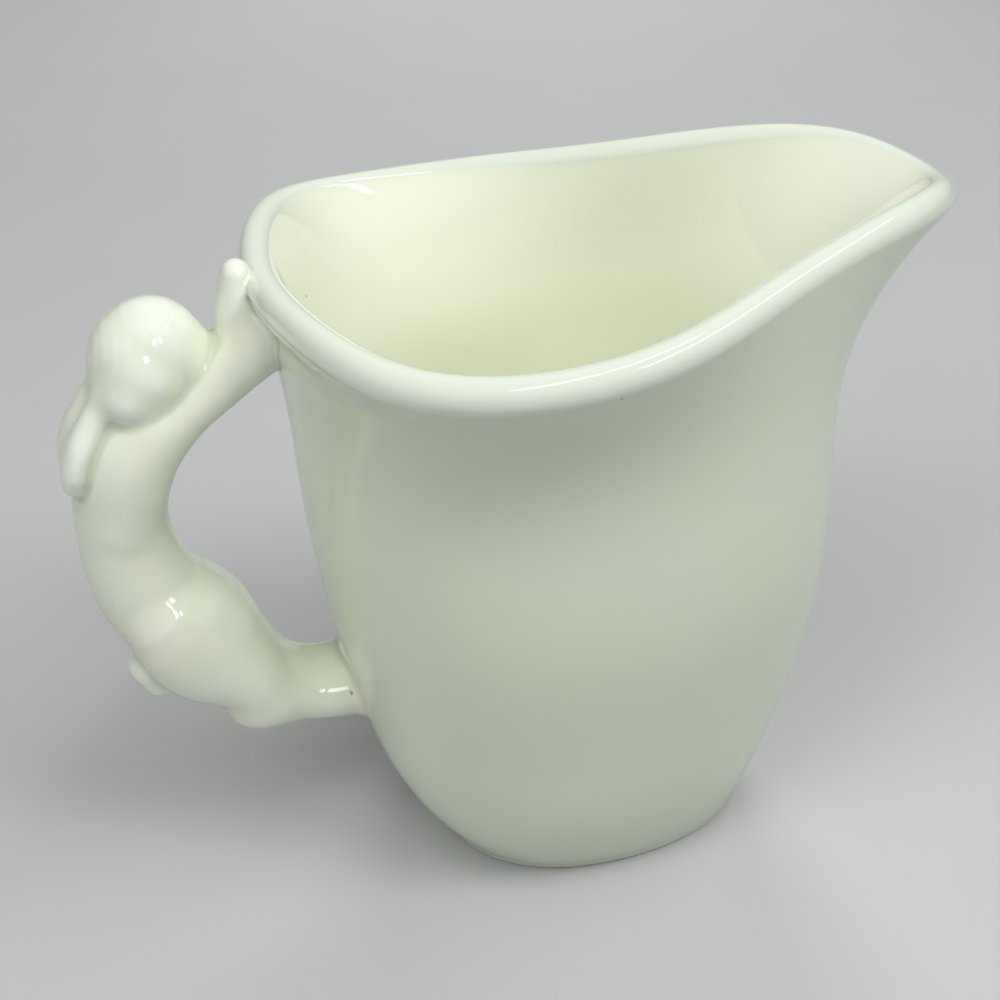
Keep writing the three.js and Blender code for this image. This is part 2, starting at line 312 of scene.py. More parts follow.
@dataclass(frozen=True)
class GlazeFinish:
    """Gloss ivory glaze over a white clay body.

    Attributes:
        name: Name of the material.
        ivory: Colour of the glaze at its usual thickness.
        thin: Colour where the glaze runs thin on edges and the body shows.
        pooled_and_shaded: Colour in creases and hollows, where glaze gathers and where their shade is
            also painted in.
        cloud: Colour that drifts through the ivory in broad clouds.
        speck: Colour of the iron specks.
        clay: Colour of the bare clay on the foot.
        cloud_size: Breadth of the clouds, in millimetres.
        speck_spacing: Mean distance between specks, in millimetres.
        speck_radius: Radius of a speck, in millimetres.
        roughness: Roughness of the glaze.
        ripple_size: Length of the ripples left by brushing and firing, in millimetres.
        ripple_depth: Depth of the ripples, in millimetres.
        pit_depth: Depth of the pit over a speck, in millimetres.
        refraction: Index of refraction of the glaze.
        clay_roughness: Roughness of the bare clay on the foot.
        well: Colour of the inside of the jug, painted paler and warmer to stand in for the light that
            bounces round inside it.
        dry_height: Height under which the foot was wiped clean, in millimetres; 0 for none.
        pinhole: Place of a pinhole in the glaze, in millimetres about the jug's axis; none if empty.
        pinhole_radius: Radius of the pinhole, in millimetres.
    """

    name: str
    ivory: Colour
    thin: Colour
    pooled_and_shaded: Colour
    cloud: Colour
    speck: Colour = (0.40, 0.36, 0.25)
    clay: Colour = (0.70, 0.66, 0.56)
    cloud_size: float = 26.0
    speck_spacing: float = 11.0
    speck_radius: float = 0.15
    roughness: float = 0.045
    ripple_size: float = 9.0
    ripple_depth: float = 0.03
    pit_depth: float = 0.1
    refraction: float = 1.52
    clay_roughness: float = 0.8
    well: Colour = (0.90, 0.93, 0.77)
    dry_height: float = 0.0
    pinhole: tuple[float, ...] = ()
    pinhole_radius: float = 0.4

    def material(self) -> bpy.types.Material:
        """Builds the finish.

        Returns:
            A material that reads Object coordinates, the mark of glaze pools and painted crease shade,
            and the mark of the inside that takes painted bounce light.
        """
        made = bpy.data.materials.new(self.name)
        made.use_nodes = True
        made.node_tree.nodes.clear()
        sketch = NodeSketch(made.node_tree)
        place = sketch.add("ShaderNodeTexCoord").outputs["Object"]
        specks = self._specks(sketch, place)
        if self.pinhole:
            specks = sketch.math("MAXIMUM", specks, self._pinhole(sketch, place))
        colour = self._colour(sketch, place, specks)
        gloss = self._noise(sketch, place, self.cloud_size, 3.0)
        rough = sketch.math("MULTIPLY_ADD", gloss, self.roughness)
        rough.node.inputs[2].default_value = self.roughness / 2
        if self.dry_height > 0:
            dry = self._dry(sketch, place)
            colour = sketch.blend(dry, colour, self.clay)
            rough = sketch.math("MAXIMUM", rough, sketch.math("MULTIPLY", dry, self.clay_roughness))
        shader = sketch.add(
            "ShaderNodeBsdfPrincipled",
            {
                "Base Color": colour,
                "Roughness": rough,
                "IOR": self.refraction,
                "Normal": self._relief(sketch, place, specks),
            },
        )
        sketch.add("ShaderNodeOutputMaterial", {"Surface": shader.outputs[0]})
        return made

    def _noise(self, sketch: NodeSketch, place: Socket, size: float, detail: float) -> Socket:
        """Even noise with features of one size.

        Args:
            sketch: Tree to add to.
            place: Object coordinates in metres.
            size: Size of the features in millimetres.
            detail: Octaves of finer noise.

        Returns:
            The noise, about one half on average.
        """
        feeds = {"Vector": place, "Scale": 1 / (size * MILLIMETRE), "Detail": detail}
        return sketch.add("ShaderNodeTexNoise", feeds).outputs[0]

    def _specks(self, sketch: NodeSketch, place: Socket) -> Socket:
        """Mask of tiny round specks scattered through the glaze."""
        feeds = {"Vector": place, "Scale": 1 / (self.speck_spacing * MILLIMETRE)}
        cells = sketch.add("ShaderNodeTexVoronoi", feeds)
        radius = self.speck_radius / self.speck_spacing
        return sketch.ramp(cells.outputs["Distance"], radius * 1.6, radius * 0.6)

    def _pinhole(self, sketch: NodeSketch, place: Socket) -> Socket:
        """Mask of the one pinhole where the slip trapped air."""
        centre = tuple(placed(np.asarray([self.pinhole]))[0])
        away = sketch.add("ShaderNodeVectorMath", {0: place, 1: centre}, operation="DISTANCE")
        radius = self.pinhole_radius * MILLIMETRE
        return sketch.ramp(away.outputs["Value"], radius * 1.2, radius * 0.5)

    def _colour(self, sketch: NodeSketch, place: Socket, specks: Socket) -> Socket:
        """Ivory with clouds, paler edges, creases darkened for glaze that gathers there and for painted
        shade, painted bounce light inside the jug, and specks.
        """
        clouds = sketch.ramp(self._noise(sketch, place, self.cloud_size, 2.0), 0.35, 0.7)
        pool_and_shade = sketch.add("ShaderNodeAttribute", attribute_name=POOL_AND_SHADE_ATTRIBUTE).outputs["Fac"]
        well = sketch.add("ShaderNodeAttribute", attribute_name=WELL_ATTRIBUTE).outputs["Fac"]
        # Painted light: inside the jug the colour turns paler and warmer, standing in for light that
        # bounces round the well.
        ivory = sketch.blend(well, sketch.blend(clouds, self.ivory, self.cloud), self.well)
        edged = sketch.blend(sketch.ramp(pool_and_shade, 0.46, 0.1), ivory, self.thin)
        # Painted shade: creases and hollows turn darker, partly for glaze that gathers there and partly
        # for the shade that falls in them.
        gathered_and_shaded = sketch.blend(sketch.ramp(pool_and_shade, 0.53, 0.95), edged, self.pooled_and_shaded)
        return sketch.blend(specks, gathered_and_shaded, self.speck)

    def _dry(self, sketch: NodeSketch, place: Socket) -> Socket:
        """Mask of the wiped foot, with an uneven edge."""
        height = sketch.add("ShaderNodeSeparateXYZ", {0: place}).outputs["Z"]
        wander = self._noise(sketch, place, 5.0, 2.0)
        edge = sketch.math("MULTIPLY", wander, 0.5 * self.dry_height * MILLIMETRE)
        limit = self.dry_height * MILLIMETRE
        return sketch.ramp(sketch.math("ADD", height, edge), limit, 0.8 * limit)

    def _relief(self, sketch: NodeSketch, place: Socket, specks: Socket) -> Socket:
        """Ripples and pinholes of the fired surface, as a normal."""
        ripples = self._noise(sketch, place, self.ripple_size, 1.0)
        feeds = {"Height": ripples, "Distance": self.ripple_depth * MILLIMETRE}
        rippled = sketch.add("ShaderNodeBump", feeds).outputs[0]
        pits = {"Height": specks, "Distance": -self.pit_depth * MILLIMETRE, "Normal": rippled}
        return sketch.add("ShaderNodeBump", pits).outputs[0]


@dataclass(frozen=True)
class MattFinish:
    """Plain matt paint with a faint tooth, for the floor.

    Attributes:
        name: Name of the material.
        colour: Colour of the paint.
        shade: Colour of its faint clouds.
        roughness: Roughness of the paint.
    """

    name: str
    colour: Colour
    shade: Colour
    roughness: float = 0.6

    def material(self) -> bpy.types.Material:
        """Builds the finish."""
        made = bpy.data.materials.new(self.name)
        made.use_nodes = True
        made.node_tree.nodes.clear()
        sketch = NodeSketch(made.node_tree)
        place = sketch.add("ShaderNodeTexCoord").outputs["Object"]
        clouds = sketch.add("ShaderNodeTexNoise", {"Vector": place, "Scale": 9.0}).outputs[0]
        colour = sketch.blend(clouds, self.colour, self.shade)
        feeds = {"Base Color": colour, "Roughness": self.roughness}
        shader = sketch.add("ShaderNodeBsdfPrincipled", feeds)
        sketch.add("ShaderNodeOutputMaterial", {"Surface": shader.outputs[0]})
        return made


@dataclass
class JugBody:
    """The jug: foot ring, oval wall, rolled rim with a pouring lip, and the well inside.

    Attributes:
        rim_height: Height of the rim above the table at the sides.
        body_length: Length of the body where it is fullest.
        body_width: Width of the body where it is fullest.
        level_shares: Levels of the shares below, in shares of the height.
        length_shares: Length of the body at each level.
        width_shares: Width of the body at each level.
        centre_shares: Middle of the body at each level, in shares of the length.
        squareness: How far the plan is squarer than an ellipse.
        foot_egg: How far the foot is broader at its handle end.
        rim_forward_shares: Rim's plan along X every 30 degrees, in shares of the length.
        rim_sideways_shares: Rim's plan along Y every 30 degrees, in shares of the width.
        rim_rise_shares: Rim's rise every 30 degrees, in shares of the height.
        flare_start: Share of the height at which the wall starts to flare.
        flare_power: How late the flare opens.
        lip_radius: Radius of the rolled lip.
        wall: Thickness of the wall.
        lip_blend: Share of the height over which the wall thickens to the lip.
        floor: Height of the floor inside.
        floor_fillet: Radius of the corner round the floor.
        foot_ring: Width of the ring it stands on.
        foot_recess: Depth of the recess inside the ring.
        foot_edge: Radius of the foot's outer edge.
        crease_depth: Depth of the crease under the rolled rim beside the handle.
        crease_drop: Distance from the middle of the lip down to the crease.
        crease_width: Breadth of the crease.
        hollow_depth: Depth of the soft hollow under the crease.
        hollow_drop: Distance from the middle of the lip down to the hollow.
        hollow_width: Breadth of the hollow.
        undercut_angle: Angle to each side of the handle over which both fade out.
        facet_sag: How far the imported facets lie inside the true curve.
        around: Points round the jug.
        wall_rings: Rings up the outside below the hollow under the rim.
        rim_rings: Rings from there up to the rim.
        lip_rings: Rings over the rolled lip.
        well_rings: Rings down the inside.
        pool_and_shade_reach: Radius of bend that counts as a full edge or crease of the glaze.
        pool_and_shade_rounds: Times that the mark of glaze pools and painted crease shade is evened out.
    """

    rim_height: float = 95.2
    body_length: float = 80.4
    body_width: float = 70.4
    level_shares: tuple[float, ...] = (0, 0.1, 0.3, 0.55, 0.8, 1)
    length_shares: tuple[float, ...] = (0.679, 0.779, 0.92, 0.995, 1, 0.998)
    width_shares: tuple[float, ...] = (0.685, 0.818, 0.926, 1, 0.952, 0.946)
    centre_shares: tuple[float, ...] = (0.058, 0.031, 0.025, 0.009, -0.009, -0.01)
    squareness: float = 0.025
    foot_egg: float = -0.04
    rim_forward_shares: tuple[float, ...] = (0.7, 0.585, 0.284, 0.001, -0.331, -0.516, -0.568)
    rim_sideways_shares: tuple[float, ...] = (0, 0.253, 0.418, 0.553, 0.547, 0.331, 0)
    rim_rise_shares: tuple[float, ...] = (0.043, 0.068, 0.048, 0, -0.016, 0.005, 0.007)
    flare_start: float = 0.68
    flare_power: float = 2.5
    lip_radius: float = 2.6
    wall: float = 4.0
    lip_blend: float = 0.18
    floor: float = 5.0
    floor_fillet: float = 8.0
    foot_ring: float = 4.0
    foot_recess: float = 1.2
    foot_edge: float = 0.8
    crease_depth: float = 0.5
    crease_drop: float = -0.15
    crease_width: float = 0.5
    hollow_depth: float = 1.1
    hollow_drop: float = 3.9
    hollow_width: float = 1.9
    undercut_angle: float = 0.85
    facet_sag: float = 0.1
    around: int = 288
    wall_rings: int = 80
    rim_rings: int = 44
    lip_rings: int = 40
    well_rings: int = 70
    pool_and_shade_reach: float = 4.0
    pool_and_shade_rounds: int = 6

    def __post_init__(self) -> None:
        """Fits the level and rim curves."""
        self._length = natural_spline(self.level_shares, self.length_shares)
        self._width = natural_spline(self.level_shares, self.width_shares)
        self._centre = natural_spline(self.level_shares, self.centre_shares)
        self._rim_forward = mirrored_series(self.rim_forward_shares, Wave.EVEN)
        self._rim_sideways = mirrored_series(self.rim_sideways_shares, Wave.ODD)
        self._rim_rise = mirrored_series(self.rim_rise_shares, Wave.EVEN)
        self._angles = TURN * np.arange(self.around) / self.around

    def rim_height_at(self, angle: np.ndarray) -> np.ndarray:
        """Height of the rim at an angle from the spout."""
        return self.rim_height * (1 + self._rim_rise(angle))

    def wall_point(self, angle: np.ndarray, share: float) -> np.ndarray:
        """Points on the outer wall.

        Args:
            angle: Angles from the spout.
            share: Share of the rim's height.

        Returns:
            One point for each angle.
        """
        squared = 1 - self.squareness
        across = (np.cos(angle) - self.squareness * np.cos(3 * angle)) / squared
        beside = (np.sin(angle) + self.squareness * np.sin(3 * angle)) / squared
        egg = 1 + self.foot_egg * (1 - share) * np.cos(angle)
        opening = max(0.0, (share - self.flare_start) / (1 - self.flare_start))
        flare = opening**self.flare_power
        level = np.asarray(share)
        forward = self._centre(level) + self._length(level) / 2 * across
        sideways = self._width(level) / 2 * beside * egg
        x = self.body_length * ((1 - flare) * forward + flare * self._rim_forward(angle))
        y = self.body_width * ((1 - flare) * sideways + flare * self._rim_sideways(angle))
        return np.stack([x, y, share * self.rim_height_at(angle)], axis=-1)

    def wall_frame(self, angle: np.ndarray, share: float) -> tuple[np.ndarray, np.ndarray]:
        """Directions at points of the wall.

        Args:
            angle: Angles from the spout.
            share: Share of the rim's height.

        Returns:
            The directions up the wall and out of it.
        """
        step = 1e-3
        along = self.wall_point(angle + step, share) - self.wall_point(angle - step, share)
        low = self.wall_point(angle, max(0.0, share - step))
        up = self.wall_point(angle, min(1.0, share + step)) - low
        along /= np.linalg.norm(along, axis=-1, keepdims=True)
        out = np.cross(along, up)
        out /= np.linalg.norm(out, axis=-1, keepdims=True)
        return np.cross(out, along), out

    def wall_ring(self, share: float, offset: np.ndarray | float) -> np.ndarray:
        """Ring of points on the wall, moved out of it by an offset."""
        out = self.wall_frame(self._angles, share)[1]
        return self.wall_point(self._angles, share) + out * np.reshape(offset, (-1, 1))

    def lip_ring(self, turn: float, offset: np.ndarray | float) -> np.ndarray:
        """Ring on the rolled lip: turn 0 is the outside of the wall, half a turn is its inside."""
        up, out = self.wall_frame(self._angles, 1.0)
        radius = np.reshape(self.lip_radius + np.asarray(offset), (-1, 1))
        rise = out * (radius * math.cos(turn) - self.lip_radius) + up * radius * math.sin(turn)
        return self.wall_point(self._angles, 1.0) + rise

    def undercut(self, below: float) -> np.ndarray:
        """How far the surface is drawn in at and under the rolled rim, for each angle round the jug.

        Args:
            below: Distance down from the middle of the lip; negative on the roll itself.

        Returns:
            The depth of the crease and of the hollow below it.
        """
        crease = math.exp(-(((below - self.crease_drop) / self.crease_width) ** 2))
        hollow = math.exp(-(((below - self.hollow_drop) / self.hollow_width) ** 2))
        away = np.abs(self._angles - math.pi)
        fade = smooth_step(away, self.undercut_angle, self.undercut_angle / 3)
        return fade * (self.crease_depth * crease + self.hollow_depth * hollow)

    def thickness(self, share: float) -> float:
        """Thickness of the wall at a level."""
        near_rim = float(smooth_step(np.asarray(share), 1 - self.lip_blend, 1.0))
        return self.wall + (2 * self.lip_radius - self.facet_sag - self.wall) * near_rim

    def drawn_in(self, ring: np.ndarray, amount: float, height: np.ndarray) -> np.ndarray:
        """A ring drawn in by an amount in plan, at a new height."""
        along = np.roll(ring, -1, axis=0) - np.roll(ring, 1, axis=0)
        inward = np.stack([-along[:, 1], along[:, 0]], axis=-1)
        inward /= np.linalg.norm(inward, axis=-1, keepdims=True)
        moved = ring.copy()
        moved[:, :2] += amount * inward
        moved[:, 2] = height
        return moved

    def outer_rings(self, offset: float) -> list[np.ndarray]:
        """Rings from the foot up the outside and over the lip, grown by an offset.

        Args:
            offset: Distance out of the wall.

        Returns:
            The rings, lowest first.
        """
        low = self.foot_edge / self.rim_height
        near_rim = 1 - 2 * self.hollow_drop / self.rim_height
        below = np.linspace(low, near_rim, self.wall_rings, endpoint=False)
        shares = [*below, *np.linspace(near_rim, 1, self.rim_rings)]
        walls = [
            self.wall_ring(share, offset - self.undercut((1 - share) * self.rim_height))
            for share in shares
        ]
        lips = [
            self.lip_ring(turn, offset - self.undercut(-turn * self.lip_radius))
            for turn in self.lip_turns()
        ]
        return walls + lips

    def lip_turns(self) -> np.ndarray:
        """Turns of the lip's rings, from its outside over the top."""
        return np.linspace(0, math.pi, self.lip_rings + 2)[1:-1]

    def foot_rings(self, edge: np.ndarray) -> list[np.ndarray]:
        """Rings of the foot, from the middle of the recess out to the wall.

        Args:
            edge: Lowest ring of the wall.

        Returns:
            The rings, innermost first.
        """
        inside = self.foot_edge + self.foot_ring
        recess = self.drawn_in(edge, inside + self.foot_recess, self.foot_recess)
        middle = recess.mean(axis=0)
        dish = [middle + (recess - middle) * share for share in np.linspace(0.12, 0.96, 8)]
        rise = [
            self.drawn_in(
                edge,
                inside + self.foot_recess * share,
                self.foot_recess * float(smooth_step(np.asarray(share), 0.0, 1.0)),
            )
            for share in np.linspace(1, 0, 9)
        ]
        ring = [self.drawn_in(edge, amount, 0.0) for amount in np.linspace(inside, self.foot_edge, 6)]
        corner = [
            self.drawn_in(
                edge,
                self.foot_edge * (1 - math.sin(turn)),
                self.foot_edge * (1 - math.cos(turn)),
            )
            for turn in np.linspace(0, math.pi / 2, 7)
        ]
        return dish + rise + ring[1:] + corner[1:-1]

    def inner_rings(self) -> list[np.ndarray]:
        """Rings from the lip down the inside and across the floor."""
        low = (self.floor + self.floor_fillet) / self.rim_height
        shares = np.linspace(1, low, self.well_rings)
        walls = [self.wall_ring(share, -self.thickness(share)) for share in shares]
        corner = walls[-1]
        fillet = []
        for turn in np.linspace(0, math.pi / 2, 14)[1:]:
            height = corner[:, 2] + (self.floor - corner[:, 2]) * math.sin(turn)
            fillet.append(self.drawn_in(corner, self.floor_fillet * (1 - math.cos(turn)), height))
        edge = fillet[-1]
        middle = edge.mean(axis=0)
        floor = [middle + (edge - middle) * share for share in np.linspace(0.92, 0.08, 9)]
        return walls + fillet + floor

    def skin(self, rings: list[np.ndarray]) -> Skin:
        """Closes a row of rings into one skin, shut by a point at each end.

        Args:
            rings: Rings with the same count of points.

        Returns:
            The closed skin.
        """
        count = self.around
        points = np.vstack([rings[0].mean(axis=0), *rings, rings[-1].mean(axis=0)])
        here = np.arange(count)
        following = (here + 1) % count
        faces = [[0, 1 + after, 1 + now] for now, after in zip(here, following)]
        for i in range(len(rings) - 1):
            low, high = 1 + i * count, 1 + (i + 1) * count
            band = np.stack([low + here, low + following, high + following, high + here], axis=-1)
            faces += band.tolist()
        top = 1 + (len(rings) - 1) * count
        last = len(points) - 1
        faces += [[top + now, top + after, last] for now, after in zip(here, following)]
        return Skin(points, faces)

    def outside(self) -> Skin:
        """The jug's outside as one closed skin, to shape what meets the wall."""
        return self.skin(self.outer_rings(-self.facet_sag))

    def build(self, finish: GlazeFinish) -> bpy.types.Object:
        """Makes the jug and puts it in place of its CAD node.

        Args:
            finish: Glaze of the jug.

        Returns:
            The finished piece.
        """
        outer = self.outer_rings(-self.facet_sag)
        foot = self.foot_rings(outer[0])
        inner = self.inner_rings()
        piece = glazed_object("glazed_jug", self.skin(foot + outer + inner), finish.material())
        store_glaze_pool_and_shade(piece.data, self.pool_and_shade_reach * MILLIMETRE, self.pool_and_shade_rounds)
        # Marks the inside and the inner half of the lip, where the colour paints the bounce light inside
        # the jug.
        lips = smooth_step(self.lip_turns(), 0.45 * math.pi, 0.95 * math.pi)
        outside = np.zeros(len(foot) + len(outer) - len(lips))
        levels = np.concatenate([outside, lips, np.ones(len(inner))])
        well = np.concatenate([[0.0], np.repeat(levels, self.around), [1.0]])
        attribute = piece.data.attributes.new(WELL_ATTRIBUTE, "FLOAT", "POINT")
        attribute.data.foreach_set("value", well.astype(np.float32))
        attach(piece, BODY)
        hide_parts("jug_body")
        return piece


@dataclass(frozen=True)
class Limb:
    """One limb, or a mirrored pair of limbs, of the rabbit.

    Attributes:
        name: What the limb is.
        melt: Width over which the limb melts into what it joins.
        rows: Stations of the limb: share of the way from the hind feet up to the paws, reach out from
            the wall there, rise, half thickness and half width.
        apart: Distance of a paired limb from the middle; 0 for a single one.
        pair_melt: Width over which the two limbs of a pair melt together.
    """

    name: str
    melt: float
    rows: tuple[tuple[float, float, float, float, float], ...]
    apart: float = 0.0
    pair_melt: float = 0.0

    def sides(self) -> tuple[int, ...]:
        """Signs of the Y places that the limb stands on."""
        return (-1, 1) if self.apart > 0 else (0,)


TORSO = Limb(
    "torso",
    melt=2.0,
    rows=(
        (1, 17.1, -8.5, 5.5, 6.5),
        (0.76, 23.0, 0, 6.6, 7.2),
        (0.64, 25.3, 0, 6.5, 6.8),
        (0.52, 26.2, 0, 6.8, 6.8),
        (0.4, 25.4, 0, 7.7, 7.4),
        (0, 25.4, 17.8, 8.3, 8.0),
    ),
)
THIGH = Limb(
    "thigh",
    melt=1.6,
    apart=4.5,
    pair_melt=6.0,
    rows=(
        (0, 27.7, 21.0, 5.8, 4.9),
        (0, 25.1, 17.6, 7.7, 5.6),
        (0, 21.4, 12.3, 8.1, 5.6),
        (0, 16.4, 6.9, 5.4, 5.2),
        (0, 14.0, 2.5, 4.2, 4.0),
    ),
)
BELLY = Limb(
    "belly",
    melt=3.0,
    rows=(
        (0, 26.2, 20.5, 5.6, 6.4),
        (0, 23.8, 16.9, 7.4, 7.4),
        (0, 20.0, 11.6, 7.7, 7.4),
        (0, 15.3, 6.5, 5.1, 6.6),
        (0, 12.8, 2.3, 4.1, 5.4),
    ),
)
HIND_FOOT = Limb(
    "hind_foot",
    melt=4.4,
    apart=3.0,
    pair_melt=6.0,
    rows=(
        (0, 15.4, 1.6, 4.3, 4.2),
        (0, 9.9, 0.8, 4.1, 4.0),
        (0, 4.9, 0, 4.2, 4.1),
        (0, -1.5, -0.3, 4.5, 4.3),
    ),
)
TAIL = Limb("tail", melt=1.0, rows=((0, 30.0, 8.9, 3.3, 3.6), (0, 28.9, 6.4, 3.0, 3.3)))
FORELEG = Limb(
    "foreleg",
    melt=4.0,
    apart=3.0,
    pair_melt=3.0,
    rows=(
        (1, 22.4, -23.5, 2.4, 2.6),
        (1, 20.6, -18.6, 3.8, 3.8),
        (1, 19.0, -14.2, 4.5, 4.3),
        (1, 16.6, -11.2, 4.3, 4.3),
        (1, 12.8, -8.0, 3.9, 4.0),
        (1, 7.4, -4.5, 3.5, 3.7),
        (1, 3.1, -1.2, 3.7, 3.8),
        (1, -0.9, 1.6, 4.0, 4.0),
    ),
)
PAW = Limb(
    "paw",
    melt=2.0,
    apart=0.6,
    pair_melt=1.4,
    rows=((1, 2.8, 0, 3.2, 3.4), (1, 3.3, 4.8, 2.8, 2.8), (1, 3.1, 10.0, 1.8, 1.9)),
)
HEAD = Limb(
    "head",
    melt=2.4,
    rows=((1, 18.0, -3.6, 5.2, 6.0), (1, 16.8, -0.6, 5.9, 6.6), (1, 14.7, 1.5, 6.0, 6.1)),
)
MUZZLE = Limb("muzzle", melt=4.4, rows=((1, 14.6, -0.4, 4.8, 5.0), (1, 10.2, -1.0, 2.4, 3.4)))
CHEEK = Limb(
    "cheek",
    melt=1.3,
    apart=2.7,
    pair_melt=2.0,
    rows=((1, 18.7, -3.8, 4.8, 5.1), (1, 16.8, -1.8, 4.9, 5.1)),
)
EAR = Limb(
    "ear",
    melt=1.5,
    apart=3.3,
    pair_melt=1.6,
    rows=(
        (1, 21.4, -3.8, 2.1, 1.7),
        (1, 24.2, -7.6, 2.1, 2.4),
        (1, 26.3, -10.8, 2.1, 3.3),
        (1, 27.5, -14.2, 2.0, 3.2),
        (1, 27.9, -16.3, 1.6, 2.3),
    ),
)


class LimbSweep:
    """Geometry Nodes that sweep an oval section along each limb's spine."""

    def __init__(self) -> None:
        """Builds the tree once for all limbs."""
        self.tree = bpy.data.node_groups.new("limb_sweep", "GeometryNodeTree")
        self.sockets: dict[str, str] = {}
        for name, kind in (
            ("Geometry", "NodeSocketGeometry"),
            ("Sides", "NodeSocketInt"),
            ("Sideways", "NodeSocketVector"),
            ("Glaze", "NodeSocketMaterial"),
        ):
            socket = self.tree.interface.new_socket(name, in_out="INPUT", socket_type=kind)
            self.sockets[name] = socket.identifier
        self.tree.interface.new_socket("Geometry", in_out="OUTPUT", socket_type="NodeSocketGeometry")
        self._lay_out()

    def _lay_out(self) -> None:
        """Adds the nodes: spine, section, sweep, and the oval at each station."""
        sketch = NodeSketch(self.tree)
        given = sketch.add("NodeGroupInput").outputs
        spine = sketch.add("GeometryNodeMeshToCurve", {0: given["Geometry"]}).outputs[0]
        where = sketch.add("GeometryNodeInputPosition").outputs[0]
        tangent = sketch.add("GeometryNodeInputTangent").outputs[0]
        for name, value in (("spine_place", where), ("spine_way", tangent)):
            feeds = {"Geometry": spine, "Name": name, "Value": value}
            spine = self._store(sketch, feeds, "FLOAT_VECTOR")
        feeds = {"Resolution": given["Sides"]}
        section = sketch.add("GeometryNodeCurvePrimitiveCircle", feeds).outputs[0]
        factor = sketch.add("GeometryNodeSplineParameter").outputs["Factor"]
        feeds = {"Geometry": section, "Name": "section_share", "Value": factor}
        section = self._store(sketch, feeds, "FLOAT")
        feeds = {"Curve": spine, "Profile Curve": section, "Fill Caps": True}
        swept = sketch.add("GeometryNodeCurveToMesh", feeds).outputs[0]
        way = self._stored(sketch, "spine_way", "FLOAT_VECTOR")
        crossing = sketch.vector("CROSS_PRODUCT", given["Sideways"], way)
        deep = sketch.add("ShaderNodeVectorMath", {0: crossing}, operation="NORMALIZE").outputs[0]
        wide = sketch.vector("CROSS_PRODUCT", way, deep)
        turn = sketch.math("MULTIPLY", self._stored(sketch, "section_share", "FLOAT"), TURN)
        thick = self._stored(sketch, "half_thickness", "FLOAT")
        broad = self._stored(sketch, "half_width", "FLOAT")
        out = sketch.scaled(deep, sketch.math("MULTIPLY", thick, sketch.math("COSINE", turn)))
        beside = sketch.scaled(wide, sketch.math("MULTIPLY", broad, sketch.math("SINE", turn)))
        centre = self._stored(sketch, "spine_place", "FLOAT_VECTOR")
        place = sketch.vector("ADD", centre, sketch.vector("ADD", out, beside))
        feeds = {"Geometry": swept, "Position": place}
        oval = sketch.add("GeometryNodeSetPosition", feeds).outputs[0]
        real = sketch.add("GeometryNodeRealizeInstances", {0: oval}).outputs[0]
        feeds = {"Geometry": real, "Material": given["Glaze"]}
        glazed = sketch.add("GeometryNodeSetMaterial", feeds).outputs[0]
        sketch.add("NodeGroupOutput", {0: glazed})

    def _store(self, sketch: NodeSketch, feeds: dict, kind: str) -> Socket:
        """Geometry that carries a value under a name."""
        return sketch.add("GeometryNodeStoreNamedAttribute", feeds, data_type=kind).outputs[0]

    def _stored(self, sketch: NodeSketch, name: str, kind: str) -> Socket:
        """Value that an earlier step stored under a name."""
        feeds = {"Name": name}
        return sketch.add("GeometryNodeInputNamedAttribute", feeds, data_type=kind).outputs[0]

    def swept(self, spine: np.ndarray, sides: int, glaze: bpy.types.Material) -> Skin:
        """Sweeps one spine.

        Args:
            spine: Rows of place, half thickness and half width, in millimetres.
            sides: Points round the section.
            glaze: Finish that the tree sets.

        Returns:
            The closed skin of the limb.
        """
        mesh = bpy.data.meshes.new("limb_spine")
        count = len(spine)
        mesh.from_pydata(spine[:, :3].tolist(), [(i, i + 1) for i in range(count - 1)], [])
        for column, name in ((3, "half_thickness"), (4, "half_width")):
            attribute = mesh.attributes.new(name, "FLOAT", "POINT")
            attribute.data.foreach_set("value", spine[:, column].astype(np.float32))
        holder = bpy.data.objects.new("limb_spine", mesh)
        bpy.context.scene.collection.objects.link(holder)
        modifier = holder.modifiers.new("limb_sweep", "NODES")
        modifier.node_group = self.tree
        modifier[self.sockets["Sides"]] = sides
        modifier[self.sockets["Sideways"]] = (0.0, 1.0, 0.0)
        modifier[self.sockets["Glaze"]] = glaze
        graph = bpy.context.evaluated_depsgraph_get()
        made = bpy.data.meshes.new_from_object(holder.evaluated_get(graph))
        points = np.empty(len(made.vertices) * 3, np.float32)
        made.vertices.foreach_get("co", points)
        made.calc_loop_triangles()
        corners = np.empty(len(made.loop_triangles) * 3, np.int32)
        made.loop_triangles.foreach_get("vertices", corners)
        bpy.data.objects.remove(holder)
        bpy.data.meshes.remove(mesh)
        bpy.data.meshes.remove(made)
        return Skin(points.reshape(-1, 3).astype(float), corners.reshape(-1, 3))


